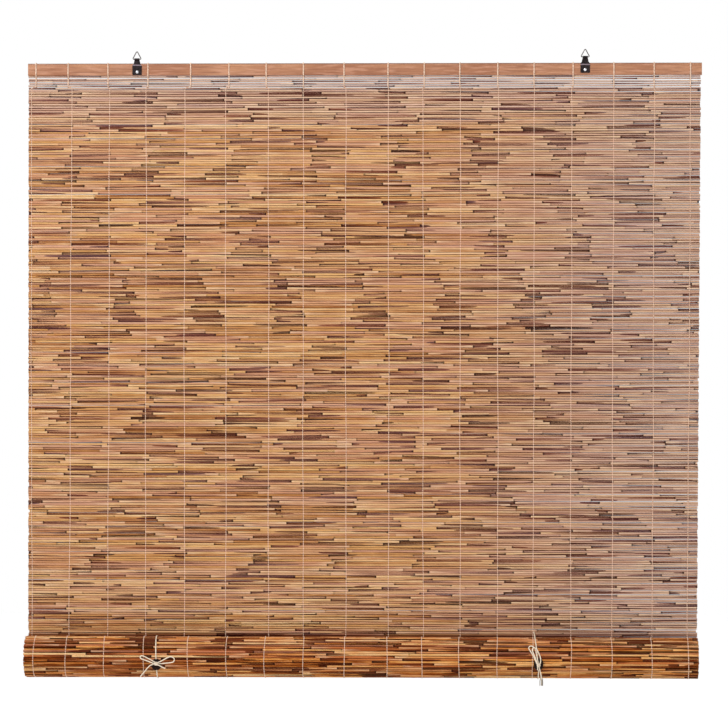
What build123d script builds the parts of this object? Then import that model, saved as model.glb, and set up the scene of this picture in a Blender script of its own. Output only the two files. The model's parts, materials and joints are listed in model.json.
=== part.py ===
from build123d import *
import math
import os

# Reed roll up blind: a wooden top lath with two ring hangers, a mat of reeds bound by warp threads,
# and the lower part of the mat rolled up round a bottom lath and held by two tied cords.
# Millimetres. X runs along the width, +Y away from the viewer, +Z up.
# The origin is midway between the two points where the rings bear on their hooks.

# Mat and laths
mat_width = 1204.0
mat_shift = -3.0
lath_overhang = 3.4
lath_height = 22.0
lath_thickness = 8.0
lath_edge_radius = 1.5
bottom_lath_inset = 4.0
reed_pitch = 4.18
reed_thickness = 3.5
groove_depth = 0.85
hanging_length = 1041.0
mat_gap = 0.3

# Gaps that let the light through, between the uppermost rows of reeds
light_gap_rows = 5
light_gap_height = 1.1
light_gap_margin = 7.0

# Warp threads, and the share of the width that each bay between two of them takes
thread_width = 1.6
thread_thickness = 0.8
thread_inset = 14.0
bay_shares = [60, 71, 70, 75, 71, 70, 66, 74, 78, 63, 65, 68, 62, 71, 73, 72, 67]

# Roll: the mat ends in the core, round the bottom lath, and the play lets that lath lie low in it
turn_gap = 1.5
half_turns = 9
core_play = 2.43
roll_thread_step = 20.0
roll_thread_steps = 16
core_clearance = 0.02

# Ring hangers
left_hanger_thread = 4
right_hanger_thread = 15
left_hanger_to_thread = 18.5
right_hanger_to_thread = 23.5
right_hanger_raise = 3.0
bar_above_lath = 8.7
wire_diameter = 1.8
ring_half_base = 8.0
ring_side_angle = 62.0
ring_corner_radius = 1.6
ring_tip_radius = 1.4
strap_thickness = 1.0
bar_clearance = 0.08
curl_angle = 290.0
sleeve_width = 9.2
shoulder_neck_width = 12.4
plate_width = 17.0
plate_corner_radius = 1.5
bar_to_flare_end = 8.5
bar_to_shoulder = 11.3
bar_to_screw = 22.7
bar_to_plate_end = 28.2
screw_shank_diameter = 2.9
screw_hole_clearance = 0.25
screw_head_diameter = 6.2
screw_head_height = 2.1
screw_depth = 6.0
screw_slot_width = 0.9
screw_slot_depth = 0.8

# Ties
cord_diameter = 2.2
tie_clearance = 0.3
tie_slot_width = 4.0
tie_slot_height = 6.5
tie_corner_radius = 3.0
tie_centre_left = -361.0
tie_centre_right = 318.2
tie_corner_left = 22.0
tie_corner_right = 43.0
toggle_width = 16.6
toggle_height = 20.0
toggle_thickness = 5.5
toggle_end_flat = 1.0
toggle_edge_radius = 2.2
toggle_drop_left = 11.5
toggle_drop_right = 9.0
toggle_seat = 0.02
stem_diameter = 4.4
stem_clearance = 0.1
knot_diameter = 8.0
knot_depth = 7.2
arc_share = 0.45

# Sizes and places that follow
wire_radius = wire_diameter / 2
cord_radius = cord_diameter / 2
half_reed = reed_thickness / 2
lath_length = mat_width + 2 * lath_overhang
hanging_rows = round(hanging_length / reed_pitch)
turn_pitch = reed_thickness + turn_gap

bay_unit = (mat_width - 2 * thread_inset) / sum(bay_shares)
left_thread_inset = thread_inset + bay_unit * sum(bay_shares[: left_hanger_thread - 1])
right_thread_inset = thread_inset + bay_unit * sum(bay_shares[: right_hanger_thread - 1])
left_hanger_inset = left_thread_inset - left_hanger_to_thread
right_hanger_inset = right_thread_inset + right_hanger_to_thread
hanger_spacing = right_hanger_inset - left_hanger_inset
mat_left = -hanger_spacing / 2 - left_hanger_inset
lath_left = mat_left - mat_shift - lath_overhang

tip_half_angle = math.radians(90 - ring_side_angle)
ring_vertex_height = ring_half_base * math.tan(math.radians(ring_side_angle))
ring_tip_drop = ring_tip_radius * (1 / math.sin(tip_half_angle) - 1)
hook_to_bar = ring_vertex_height - ring_tip_drop - wire_radius

lath_top = -hook_to_bar - bar_above_lath
lath_bottom = lath_top - lath_height
mat_bottom = lath_bottom - hanging_rows * reed_pitch

lath_corner_reach = math.hypot(lath_height / 2 - lath_edge_radius, lath_thickness / 2 - lath_edge_radius)
core_radius = lath_corner_reach + lath_edge_radius + core_play
roll_radius = core_radius + half_reed + (half_turns - 1) * turn_pitch / 2
axis_y = -roll_radius
axis_z = mat_bottom - mat_gap

sleeve_radius = wire_radius + bar_clearance
strap_back = -lath_thickness / 2
strap_front = strap_back - strap_thickness
bar_y = strap_front - sleeve_radius

os.makedirs("parts", exist_ok=True)


def keep(part, label):
    """Name a finished piece and write it."""
    part.label = label
    export_step(part, "parts/" + label + ".step")


def thread_places():
    """The middle of each warp thread along X."""
    places = [mat_left + thread_inset]
    for share in bay_shares:
        places.append(places[-1] + bay_unit * share)
    return places


def half_turn_radius(number):
    """The radius of the middle of the mat in one half turn of the roll, counted from outside."""
    return roll_radius - number * turn_pitch / 2


def half_turn_centre(number):
    """Even half turns run under the roll, odd ones over it, about a centre half a pitch further forward."""
    return axis_y - (turn_pitch / 2 if number % 2 else 0)


def roll_point(angle, outward):
    """A point of the outer turn in Y and Z: angle from the rear, down and forward, outward from the middle."""
    number = 0 if angle <= 180 else 1
    radius = half_turn_radius(number) + outward
    turn = math.radians(angle)
    return (half_turn_centre(number) + radius * math.cos(turn), axis_z - radius * math.sin(turn))


def zigzag(rows, outline):
    """Crest and groove points of a run of reeds, from a function of the share of a row and the depth."""
    points = []
    for row in range(rows):
        points.append(outline(row + 0.5, 0))
        if row < rows - 1:
            points.append(outline(row + 1, groove_depth))
    return points


# Top lath: a flat strip with rounded long edges and a blind hole for each hanger screw
hanger_places = [
    ("left", -hanger_spacing / 2, -right_hanger_raise / 2),
    ("right", hanger_spacing / 2, right_hanger_raise / 2),
]

with BuildPart() as top_lath:
    with BuildSketch(Plane.YZ.offset(lath_left)):
        with Locations((0, (lath_top + lath_bottom) / 2)):
            RectangleRounded(lath_thickness, lath_height, lath_edge_radius)
    extrude(amount=lath_length)
    for side, hanger_x, hanger_z in hanger_places:
        screw_z = hanger_z - hook_to_bar - bar_to_screw
        with BuildSketch(Plane.XZ.offset(lath_thickness / 2)):
            with Locations((hanger_x, screw_z)):
                Circle(screw_shank_diameter / 2)
        extrude(amount=-screw_depth, mode=Mode.SUBTRACT)

keep(top_lath.part, "top_lath")


# Hangers: a steel strap curled round the ring's bar, a triangle of wire, and a round head screw
def hanger_strap(x, z):
    """The strap lies on the lath and curls forward round the bar of its ring."""
    bar_z = z - hook_to_bar
    bottom = bar_z - bar_to_plate_end
    with BuildPart() as strap:
        with BuildSketch(Plane.YZ.offset(x)):
            with BuildLine():
                outer = CenterArc((bar_y, bar_z), sleeve_radius + strap_thickness, 0, curl_angle)
                inner = CenterArc((bar_y, bar_z), sleeve_radius, 0, curl_angle)
                Line(outer @ 1, inner @ 1)
                Line(inner @ 0, (strap_front, bottom))
                Line((strap_front, bottom), (strap_back, bottom))
                Line((strap_back, bottom), outer @ 0)
            make_face()
        extrude(amount=plate_width / 2, both=True)
        with BuildSketch(Plane.XZ.offset(-strap_back)) as front:
            with BuildLine():
                Polyline(
                    (x - plate_width / 2, bottom),
                    (x - plate_width / 2, bar_z - bar_to_shoulder),
                    (x - shoulder_neck_width / 2, bar_z - bar_to_flare_end),
                    (x - sleeve_width / 2, bar_z - sleeve_radius),
                    (x - sleeve_width / 2, bar_z + 2 * wire_diameter),
                    (x + sleeve_width / 2, bar_z + 2 * wire_diameter),
                    (x + sleeve_width / 2, bar_z - sleeve_radius),
                    (x + shoulder_neck_width / 2, bar_z - bar_to_flare_end),
                    (x + plate_width / 2, bar_z - bar_to_shoulder),
                    (x + plate_width / 2, bottom),
                    close=True,
                )
            make_face()
            fillet(front.vertices().group_by(Axis.Y)[0], plate_corner_radius)
        extrude(amount=3 * (sleeve_radius + strap_thickness), mode=Mode.INTERSECT)
        with BuildSketch(Plane.XZ.offset(-strap_back)):
            with Locations((x, bar_z - bar_to_screw)):
                Circle(screw_shank_diameter / 2 + screw_hole_clearance)
        extrude(amount=strap_thickness, mode=Mode.SUBTRACT)
    return strap.part


def hanger_ring(x, z):
    """A triangle of round wire whose straight bar runs through the strap's curl."""
    bar_z = z - hook_to_bar
    corner_tangent = ring_corner_radius / math.tan(math.radians(ring_side_angle / 2))
    with BuildPart() as ring:
        with BuildLine(Plane.XZ.offset(-bar_y)):
            outline = FilletPolyline(
                (x, bar_z),
                (x + ring_half_base, bar_z),
                (x, bar_z + ring_vertex_height),
                (x - ring_half_base, bar_z),
                (x, bar_z),
                radius=[0, ring_corner_radius, ring_tip_radius, ring_corner_radius],
            )
        with BuildSketch(Plane.YZ.offset(x)):
            with Locations((bar_y, bar_z)):
                Circle(wire_radius)
        sweep(path=outline)
    print("ring bar straight for", round(2 * (ring_half_base - corner_tangent), 2), "sleeve", sleeve_width)
    return ring.part


def hanger_screw(x, z):
    """A slotted round head screw, its shank plain where the thread would be."""
    screw_z = z - hook_to_bar - bar_to_screw
    dome_radius = (screw_head_height**2 + (screw_head_diameter / 2) ** 2) / (2 * screw_head_height)
    seat = -strap_front
    tip = lath_thickness / 2 - screw_depth
    with BuildPart() as screw:
        with BuildSketch(Plane.XY.offset(screw_z)):
            with BuildLine():
                Line((x, -seat - screw_head_height), (x, -tip))
                Line((x, -tip), (x + screw_shank_diameter / 2, -tip - screw_shank_diameter / 2))
                Line((x + screw_shank_diameter / 2, -tip - screw_shank_diameter / 2), (x + screw_shank_diameter / 2, -seat))
                Line((x + screw_shank_diameter / 2, -seat), (x + screw_head_diameter / 2, -seat))
                RadiusArc((x + screw_head_diameter / 2, -seat), (x, -seat - screw_head_height), dome_radius)
            make_face()
        revolve(axis=Axis((x, 0, screw_z), (0, 1, 0)))
        with BuildSketch(Plane.XZ.offset(seat + screw_head_height)):
            with Locations((x, screw_z)):
                Rectangle(screw_head_diameter, screw_slot_width)
        extrude(amount=-screw_slot_depth, mode=Mode.SUBTRACT)
    return screw.part


for side, hanger_x, hanger_z in hanger_places:
    keep(hanger_strap(hanger_x, hanger_z), side + "_hanger_strap")
    keep(hanger_ring(hanger_x, hanger_z), side + "_ring")
    keep(hanger_screw(hanger_x, hanger_z), side + "_hanger_screw")


# Ties: where each cord goes round the roll and through the mat
tie_lower_radius = roll_radius + half_reed + cord_radius + tie_clearance
tie_upper_radius = tie_lower_radius - turn_pitch / 2
tie_upper_centre = axis_y - turn_pitch / 2
tie_back_y = axis_y + tie_lower_radius


def tie_tangent(corner_height):
    """Where the straight strand from the corner behind the mat touches the top of the roll."""
    across = tie_back_y - tie_upper_centre
    reach = math.hypot(across, corner_height)
    angle = math.atan2(corner_height, across) + math.acos(tie_upper_radius / reach)
    return angle


def tie_strand_height(corner_height, y):
    """The height of that strand above the roll's axis at one depth."""
    angle = tie_tangent(corner_height)
    slope = 1 / math.tan(angle)
    return corner_height + (tie_back_y - y) * slope


# Hanging mat: ridges of reeds on both faces of one wall, with the gaps that let the light through
threads = thread_places()


def front_of_mat(row, depth):
    return (-half_reed + depth, lath_bottom - row * reed_pitch)


def back_of_mat(row, depth):
    return (half_reed - depth, lath_bottom - row * reed_pitch)


with BuildPart() as hanging_mat:
    with BuildSketch(Plane.YZ.offset(mat_left)):
        with BuildLine():
            Polyline(
                front_of_mat(0, groove_depth),
                *zigzag(hanging_rows, front_of_mat),
                front_of_mat(hanging_rows, groove_depth),
                back_of_mat(hanging_rows, groove_depth),
                *reversed(zigzag(hanging_rows, back_of_mat)),
                back_of_mat(0, groove_depth),
                close=True,
            )
        make_face()
    extrude(amount=mat_width)
    with BuildSketch(Plane.XZ.offset(-reed_thickness)):
        for row in range(1, light_gap_rows + 1):
            for left, right in zip(threads, threads[1:]):
                with Locations(((left + right) / 2, lath_bottom - row * reed_pitch)):
                    Rectangle(right - left - 2 * light_gap_margin, light_gap_height)
        for tie_x, corner in [(tie_centre_left, tie_corner_left), (tie_centre_right, tie_corner_right)]:
            with Locations((tie_x, axis_z + tie_strand_height(corner, 0))):
                Rectangle(tie_slot_width, tie_slot_height)
    extrude(amount=2 * reed_thickness, mode=Mode.SUBTRACT)

keep(hanging_mat.part, "hanging_reed_mat")

# Warp threads of the hanging part: down the front, over the lath and down the back
lath_face = lath_thickness / 2
slant_end = lath_bottom - reed_pitch / 2

for number, x in enumerate(threads, start=1):
    with BuildPart() as thread:
        with BuildSketch(Plane.YZ.offset(x)):
            with BuildLine():
                Polyline(
                    (-half_reed, mat_bottom),
                    (-half_reed, slant_end),
                    (-lath_face, lath_bottom),
                    (-lath_face, lath_top),
                    (lath_face, lath_top),
                    (lath_face, lath_bottom),
                    (half_reed, slant_end),
                    (half_reed, mat_bottom),
                    (half_reed + thread_thickness, mat_bottom),
                    (half_reed + thread_thickness, slant_end),
                    (lath_face + thread_thickness, lath_bottom),
                    (lath_face + thread_thickness, lath_top + thread_thickness),
                    (-lath_face - thread_thickness, lath_top + thread_thickness),
                    (-lath_face - thread_thickness, lath_bottom),
                    (-half_reed - thread_thickness, slant_end),
                    (-half_reed - thread_thickness, mat_bottom),
                    close=True,
                )
            make_face()
        extrude(amount=thread_width / 2, both=True)
    keep(thread.part, "warp_thread_" + str(number).zfill(2))

# Roll: the rest of the mat as one spiral wall, its outer turn ridged like the hanging part
outer_turn_length = math.pi * (half_turn_radius(0) + half_turn_radius(1))
roll_rows = round(outer_turn_length / reed_pitch)


def outer_face_of_roll(row, depth):
    along = row / roll_rows * outer_turn_length
    first = math.pi * half_turn_radius(0)
    if along <= first:
        angle = 180 * along / first
    else:
        angle = 180 + 180 * (along - first) / (outer_turn_length - first)
    return roll_point(angle, half_reed - depth)


with BuildPart() as reed_roll:
    with BuildSketch(Plane.YZ.offset(mat_left)):
        with BuildLine():
            ridges = Polyline(roll_point(0, half_reed), *zigzag(roll_rows, outer_face_of_roll), roll_point(360, half_reed))
            for number in range(half_turns):
                centre = (half_turn_centre(number), axis_z)
                radius = half_turn_radius(number)
                start = 180 if number % 2 else 0
                if number > 1:
                    CenterArc(centre, radius + half_reed, start, -180)
                CenterArc(centre, radius - half_reed, start, -180)
            last = half_turns - 1
            end_y = half_turn_centre(last) + half_turn_radius(last) * (1 if last % 2 else -1)
            Line((end_y - half_reed, axis_z), (end_y + half_reed, axis_z))
            Line(roll_point(0, -half_reed), roll_point(0, half_reed))
        make_face()
    extrude(amount=mat_width)

keep(reed_roll.part, "reed_roll")

# Warp threads of the roll: thin strips over the outer turn, each straight run resting on its reeds
run_lift = (roll_radius + half_reed) * (1 / math.cos(math.radians(roll_thread_step / 2)) - 1)
roll_thread_angles = [step * roll_thread_step for step in range(roll_thread_steps + 1)]

for number, x in enumerate(threads, start=1):
    with BuildPart() as roll_thread:
        with BuildSketch(Plane.YZ.offset(x)):
            with BuildLine():
                inner_side = half_reed + run_lift
                outer_side = inner_side + thread_thickness
                Polyline(
                    *[roll_point(angle, inner_side) for angle in roll_thread_angles],
                    *[roll_point(angle, outer_side) for angle in reversed(roll_thread_angles)],
                    close=True,
                )
            make_face()
        extrude(amount=thread_width / 2, both=True)
    keep(roll_thread.part, "roll_thread_" + str(number).zfill(2))

# Bottom lath: lies in the core of the roll, its two lower edges on the innermost turn
edge_reach = core_radius - core_clearance - lath_edge_radius
edge_across = lath_height / 2 - lath_edge_radius
edge_drop = math.sqrt(edge_reach**2 - edge_across**2)
bottom_lath_drop = edge_drop - lath_thickness / 2 + lath_edge_radius

with BuildPart() as bottom_lath:
    with BuildSketch(Plane.YZ.offset(mat_left + bottom_lath_inset)):
        with Locations((half_turn_centre(half_turns - 1), axis_z - bottom_lath_drop)):
            RectangleRounded(lath_height, lath_thickness, lath_edge_radius)
    extrude(amount=mat_width - 2 * bottom_lath_inset)

keep(bottom_lath.part, "bottom_lath")


# Ties: a loop round the roll, a toggle and a knot in front, and a bow of two cords
def tie_loop(x, corner_height):
    """Round the roll, straight up behind the mat and forward through it."""
    angle = math.degrees(tie_tangent(corner_height))
    setback = tie_corner_radius * math.tan(math.radians(angle) / 2)
    corner_z = axis_z + corner_height
    with BuildPart() as loop:
        with BuildLine(Plane.YZ.offset(x)) as route:
            under = CenterArc((axis_y, axis_z), tie_lower_radius, 0, -180)
            over = CenterArc((tie_upper_centre, axis_z), tie_upper_radius, 180, angle - 180)
            Line(under @ 0, (tie_back_y, corner_z - setback))
            bend_centre = (tie_back_y - tie_corner_radius, corner_z - setback)
            bend = CenterArc(bend_centre, tie_corner_radius, 0, angle)
            Line(bend @ 1, over @ 1)
        with BuildSketch(Plane.XY.offset(axis_z)):
            with Locations((x, tie_back_y)):
                Circle(cord_radius)
        sweep(path=route.line)
    return loop.part


def tie_plane(x, drop):
    """A plane on the roll's crests at the toggle, its normal pointing out of the roll."""
    crest = roll_radius + half_reed
    fall = math.asin(drop / crest)
    outward = Vector(0, -math.cos(fall), -math.sin(fall))
    foot = Vector(x, axis_y, axis_z) + outward * crest
    return Plane(origin=foot, x_dir=(1, 0, 0), z_dir=outward)


def tie_toggle(x, drop):
    """A moulded saddle on the roll, with a tunnel for the loop and a hole for the knot."""
    crest = roll_radius + half_reed
    face = tie_plane(x, drop)
    with BuildPart() as toggle:
        with BuildSketch(face.offset(-toggle_thickness)):
            RectangleRounded(toggle_width, toggle_height, (toggle_width - toggle_end_flat) / 2)
        extrude(amount=2 * toggle_thickness)
        fillet(toggle.faces().sort_by(Axis(face.origin, face.z_dir))[-1].edges(), toggle_edge_radius)
        with BuildSketch(Plane.YZ.offset(x)):
            with Locations((axis_y, axis_z)):
                Circle(crest + toggle_seat)
        extrude(amount=toggle_width, both=True, mode=Mode.SUBTRACT)
        with BuildSketch(Plane.XY.offset(axis_z)):
            with Locations((x, axis_y - tie_lower_radius)):
                Circle(cord_radius + stem_clearance)
        revolve(axis=Axis((0, axis_y, axis_z), (1, 0, 0)), mode=Mode.SUBTRACT)
        with BuildSketch(face):
            Circle(stem_diameter / 2 + stem_clearance)
        extrude(amount=2 * toggle_thickness, mode=Mode.SUBTRACT)
    return toggle.part


def tie_knot(x, drop):
    """The knot's outer shape: a stem through the toggle and a rounded head."""
    face = tie_plane(x, drop)
    stem_start = tie_lower_radius + cord_radius + toggle_seat - (roll_radius + half_reed)
    head_middle = toggle_thickness + knot_depth / 2
    with BuildPart() as knot:
        with BuildSketch(Plane(origin=face.origin, x_dir=face.x_dir, z_dir=face.y_dir)):
            with BuildLine():
                head = EllipticalCenterArc(
                    (0, -head_middle), knot_diameter / 2, knot_depth / 2, start_angle=-90, arc_size=180
                )
                Line(head @ 0, head @ 1)
            make_face()
            with Locations((stem_diameter / 4, -(stem_start + head_middle) / 2)):
                Rectangle(stem_diameter / 2, head_middle - stem_start)
        revolve(axis=Axis(face.origin, face.z_dir))
    return knot.part


def bow_cord(x, route, name):
    """One cord of a bow, from points given as across, forward of the roll's axis and up from it."""
    points = [Vector(x + across, axis_y - forward, axis_z + up) for across, forward, up in route]
    runs = [after - before for before, after in zip(points, points[1:])]
    radii = []
    for before, after in zip(runs, runs[1:]):
        half_turn = math.radians(before.get_angle(after)) / 2
        radii.append(arc_share * min(before.length, after.length) / math.tan(half_turn))
    with BuildPart() as cord:
        with BuildLine() as line:
            FilletPolyline(*points, radius=radii)
        with BuildSketch(Plane(origin=points[0], z_dir=runs[0])):
            Circle(cord_radius)
        sweep(path=line.line)
    length = sum(edge.length for edge in line.edges())
    share = cord.part.volume / (math.pi * cord_radius**2 * length)
    print(name, "length", round(length, 1), "radii", [round(r, 1) for r in radii], "volume share", round(share, 4))
    return cord.part


# Each bow cord leaves the knot, makes its loop, passes through the knot again and ends in a tail
left_bow_right_loop = [
    (2.5, 46.0, -12.0),
    (9.0, 45.2, -9.4),
    (15.5, 44.0, -5.4),
    (21.6, 43.0, -1.4),
    (26.4, 42.4, 0.6),
    (30.4, 42.0, -1.0),
    (32.2, 41.6, -5.0),
    (30.4, 41.4, -9.0),
    (26.2, 41.5, -11.2),
    (20.6, 41.8, -12.6),
    (14.6, 42.2, -13.6),
    (8.6, 42.7, -14.4),
    (2.6, 43.2, -15.4),
    (-3.6, 43.0, -17.6),
    (-9.4, 41.8, -21.4),
    (-15.2, 40.0, -26.0),
    (-21.2, 38.0, -30.6),
    (-27.6, 36.2, -35.2),
]
left_bow_left_loop = [
    (-2.4, 43.2, -11.8),
    (-8.6, 43.0, -9.6),
    (-14.8, 42.6, -6.6),
    (-20.6, 42.2, -3.2),
    (-25.4, 41.8, -0.2),
    (-28.9, 41.5, -1.0),
    (-30.0, 41.4, -4.4),
    (-26.8, 41.8, -6.8),
    (-21.4, 42.8, -8.8),
    (-15.4, 44.0, -10.8),
    (-9.2, 45.2, -12.6),
    (-2.8, 46.2, -14.8),
    (3.8, 45.8, -17.4),
    (10.0, 43.6, -19.4),
    (15.8, 41.6, -21.8),
]
right_bow_outer_loop = [
    (-3.2, 46.4, -8.4),
    (-5.4, 46.4, -2.6),
    (-8.2, 44.6, 3.4),
    (-11.6, 42.2, 9.6),
    (-15.2, 39.6, 15.2),
    (-18.2, 37.6, 19.2),
    (-15.8, 36.4, 22.8),
    (-11.2, 36.0, 22.8),
    (-7.4, 37.0, 19.8),
    (-5.2, 39.0, 14.6),
    (-3.8, 41.2, 8.6),
    (-2.6, 43.8, 2.4),
    (-1.2, 45.4, -4.4),
    (0.2, 45.2, -11.4),
    (1.8, 44.0, -18.2),
    (3.6, 43.0, -25.0),
    (4.8, 42.2, -31.8),
    (5.2, 41.6, -39.0),
    (4.9, 41.2, -46.3),
]
right_bow_inner_loop = [
    (2.4, 46.8, -8.2),
    (4.8, 46.8, -2.8),
    (5.4, 46.0, 3.2),
    (3.8, 45.2, 8.8),
    (0.0, 44.4, 13.6),
    (-5.4, 43.6, 16.2),
    (-10.4, 43.4, 14.8),
    (-11.4, 44.4, 10.0),
    (-8.8, 46.4, 5.2),
    (-6.0, 48.0, 0.4),
    (-3.6, 48.8, -5.0),
    (-1.8, 48.6, -10.8),
    (-1.8, 47.2, -16.6),
    (-2.6, 45.8, -22.4),
]

for side, tie_x, corner, drop, bows in [
    ("left", tie_centre_left, tie_corner_left, toggle_drop_left, (left_bow_right_loop, left_bow_left_loop)),
    ("right", tie_centre_right, tie_corner_right, toggle_drop_right, (right_bow_outer_loop, right_bow_inner_loop)),
]:
    keep(tie_loop(tie_x, corner), side + "_tie_loop")
    keep(tie_toggle(tie_x, drop), side + "_tie_toggle")
    keep(tie_knot(tie_x, drop), side + "_tie_knot")
    for letter, route in zip("ab", bows):
        name = side + "_bow_cord_" + letter
        keep(bow_cord(tie_x, route, name), name)
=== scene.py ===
import json
import math
import random

import bpy
from mathutils import Matrix, Vector

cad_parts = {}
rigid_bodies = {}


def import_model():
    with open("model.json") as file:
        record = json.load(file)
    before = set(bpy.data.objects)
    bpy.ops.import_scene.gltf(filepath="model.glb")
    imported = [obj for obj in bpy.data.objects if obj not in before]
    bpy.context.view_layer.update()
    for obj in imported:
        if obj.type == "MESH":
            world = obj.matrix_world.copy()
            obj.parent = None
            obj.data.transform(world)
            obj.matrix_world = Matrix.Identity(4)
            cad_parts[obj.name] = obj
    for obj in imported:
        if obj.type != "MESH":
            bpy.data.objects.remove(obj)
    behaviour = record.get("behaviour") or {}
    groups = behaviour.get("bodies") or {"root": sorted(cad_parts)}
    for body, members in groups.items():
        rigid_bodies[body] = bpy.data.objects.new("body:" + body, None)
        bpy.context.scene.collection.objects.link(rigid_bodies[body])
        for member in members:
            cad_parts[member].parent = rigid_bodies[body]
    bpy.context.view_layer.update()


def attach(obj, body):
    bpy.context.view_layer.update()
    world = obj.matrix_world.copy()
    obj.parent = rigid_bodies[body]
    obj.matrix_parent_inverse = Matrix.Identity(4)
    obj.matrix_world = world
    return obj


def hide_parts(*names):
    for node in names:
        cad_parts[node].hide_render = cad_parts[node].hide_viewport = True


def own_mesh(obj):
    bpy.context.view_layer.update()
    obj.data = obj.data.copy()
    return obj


# Reed roll up blind, dressed over its CAD frame. Metres, in the frame's own axes:
# X along the width, +Y away from the viewer, +Z up, the origin midway between the hooks.

for leftover in list(bpy.data.objects):
    bpy.data.objects.remove(leftover)

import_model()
bpy.ops.object.select_all(action="DESELECT")

# Sizes of the blind
LATH_TOP = -0.021264
LATH_BOTTOM = -0.043264
LATH_HEIGHT = 0.022
MAT_LEFT = -0.599
MAT_RIGHT = 0.605
ROW_PITCH = 0.00418
HANGING_ROWS = 249
MAT_BOTTOM = LATH_BOTTOM - HANGING_ROWS * ROW_PITCH
OPEN_ROWS = 6
LASHED_ROWS = 5
AXIS_Y = -0.035503
AXIS_Z = MAT_BOTTOM - 0.0003
ROLL_RADIUS = 0.035503
TURN_PITCH = 0.005
TIE_LEFT = -0.361
TIE_RIGHT = 0.3182

# Where the reeds end on the right in the outer turn of the roll and in the turns inside it
ROLL_RIGHT = 0.6025
INNER_RIGHT = 0.6028
# The mat's right edge at its top, past the CAD's, and how far it runs in from there to its bottom
MAT_RIGHT_OUT = 0.005
MAT_RIGHT_IN = 0.0062

# Where each warp thread crosses the lath, the mat's top, the mat's bottom and the roll's front, in millimetres
THREADS_TOP = [-585, -527, -455, -383, -306, -237, -170, -103, -30, 49, 114, 178, 246, 311, 381, 454, 526, 591]
THREADS_UPPER = [-594, -520, -452, -386, -317, -243, -166, -103, -27, 50, 112, 179, 247, 312, 379, 454, 527, 592]
THREADS_LOWER = [-592, -525, -455, -387, -317, -242, -165, -103, -26, 51, 113, 179, 246, 310, 377, 451, 523, 586]
THREADS_ROLL = [-581, -524, -456, -385, -306, -237, -169, -100, -27, 49, 111, 177, 245, 308, 376, 448, 519, 584]


def srgb(red, green, blue, alpha=1.0):
    """A colour as it is seen on a screen, 0 to 255, as linear light."""
    values = []
    for value in (red, green, blue):
        share = value / 255
        values.append(share / 12.92 if share <= 0.04045 else ((share + 0.055) / 1.055) ** 2.4)
    return (*values, alpha)


# Shader helpers and effects


def new_node(tree, kind, **settings):
    node = tree.nodes.new(kind)
    for key, value in settings.items():
        setattr(node, key, value)
    return node


def feed(tree, socket, value):
    """Link a socket, or set its plain value."""
    if isinstance(value, bpy.types.NodeSocket):
        tree.links.new(value, socket)
    else:
        socket.default_value = value


def calc(tree, operation, first, second=None, third=None, clamp=False):
    node = new_node(tree, "ShaderNodeMath", operation=operation, use_clamp=clamp)
    for socket, value in zip(node.inputs, (first, second, third)):
        if value is not None:
            feed(tree, socket, value)
    return node.outputs[0]


def blend_colours(tree, share, under, over, blend_type="MIX"):
    node = new_node(tree, "ShaderNodeMix", data_type="RGBA", blend_type=blend_type, clamp_factor=True)
    feed(tree, node.inputs[0], share)
    feed(tree, node.inputs[6], under)
    feed(tree, node.inputs[7], over)
    return node.outputs[2]


def spread(tree, value, low, high, new_low=0.0, new_high=1.0, smooth=True):
    node = new_node(tree, "ShaderNodeMapRange", interpolation_type="SMOOTHSTEP" if smooth else "LINEAR")
    for socket, item in zip(node.inputs, (value, low, high, new_low, new_high)):
        feed(tree, socket, item)
    return node.outputs[0]


def ramp(tree, share, stops):
    node = new_node(tree, "ShaderNodeValToRGB")
    elements = node.color_ramp.elements
    while len(elements) < len(stops):
        elements.new(0.5)
    for element, (place, colour) in zip(elements, stops):
        element.position = place
        element.color = colour
    feed(tree, node.inputs[0], share)
    return node.outputs[0]


def scaled_coordinates(tree, coordinates, scale):
    node = new_node(tree, "ShaderNodeMapping", vector_type="POINT")
    feed(tree, node.inputs["Vector"], coordinates)
    node.inputs["Scale"].default_value = scale
    return node.outputs[0]


def split(tree, vector):
    """The three parts of a vector."""
    node = new_node(tree, "ShaderNodeSeparateXYZ")
    feed(tree, node.inputs[0], vector)
    return node.outputs


def noise(tree, coordinates, scale, detail=3.0, roughness=0.55):
    node = new_node(tree, "ShaderNodeTexNoise", noise_dimensions="3D")
    feed(tree, node.inputs["Vector"], coordinates)
    node.inputs["Scale"].default_value = scale
    node.inputs["Detail"].default_value = detail
    node.inputs["Roughness"].default_value = roughness
    return node.outputs[0]


def object_coordinates(tree):
    return new_node(tree, "ShaderNodeTexCoord").outputs["Object"]


def new_finish(name):
    """A material with its Principled shader ready."""
    material = bpy.data.materials.new(name)
    material.use_nodes = True
    tree = material.node_tree
    return material, tree, tree.nodes["Principled BSDF"]


def add_bump(tree, shader, strength, distance, height):
    bump = new_node(tree, "ShaderNodeBump")
    bump.inputs["Strength"].default_value = strength
    bump.inputs["Distance"].default_value = distance
    feed(tree, bump.inputs["Height"], height)
    feed(tree, shader.inputs["Normal"], bump.outputs[0])


def new_group(name, inputs, outputs):
    tree = bpy.data.node_groups.new(name, "ShaderNodeTree")
    for label, kind, value in inputs:
        socket = tree.interface.new_socket(name=label, in_out="INPUT", socket_type=kind)
        if value is not None:
            socket.default_value = value
    for label, kind in outputs:
        tree.interface.new_socket(name=label, in_out="OUTPUT", socket_type=kind)
    return tree, tree.nodes.new("NodeGroupInput").outputs, tree.nodes.new("NodeGroupOutput").inputs


def place_group(tree, group, **values):
    node = new_node(tree, "ShaderNodeGroup", node_tree=group)
    for label, value in values.items():
        feed(tree, node.inputs[label.replace("_", " ").capitalize()], value)
    return node.outputs


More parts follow.
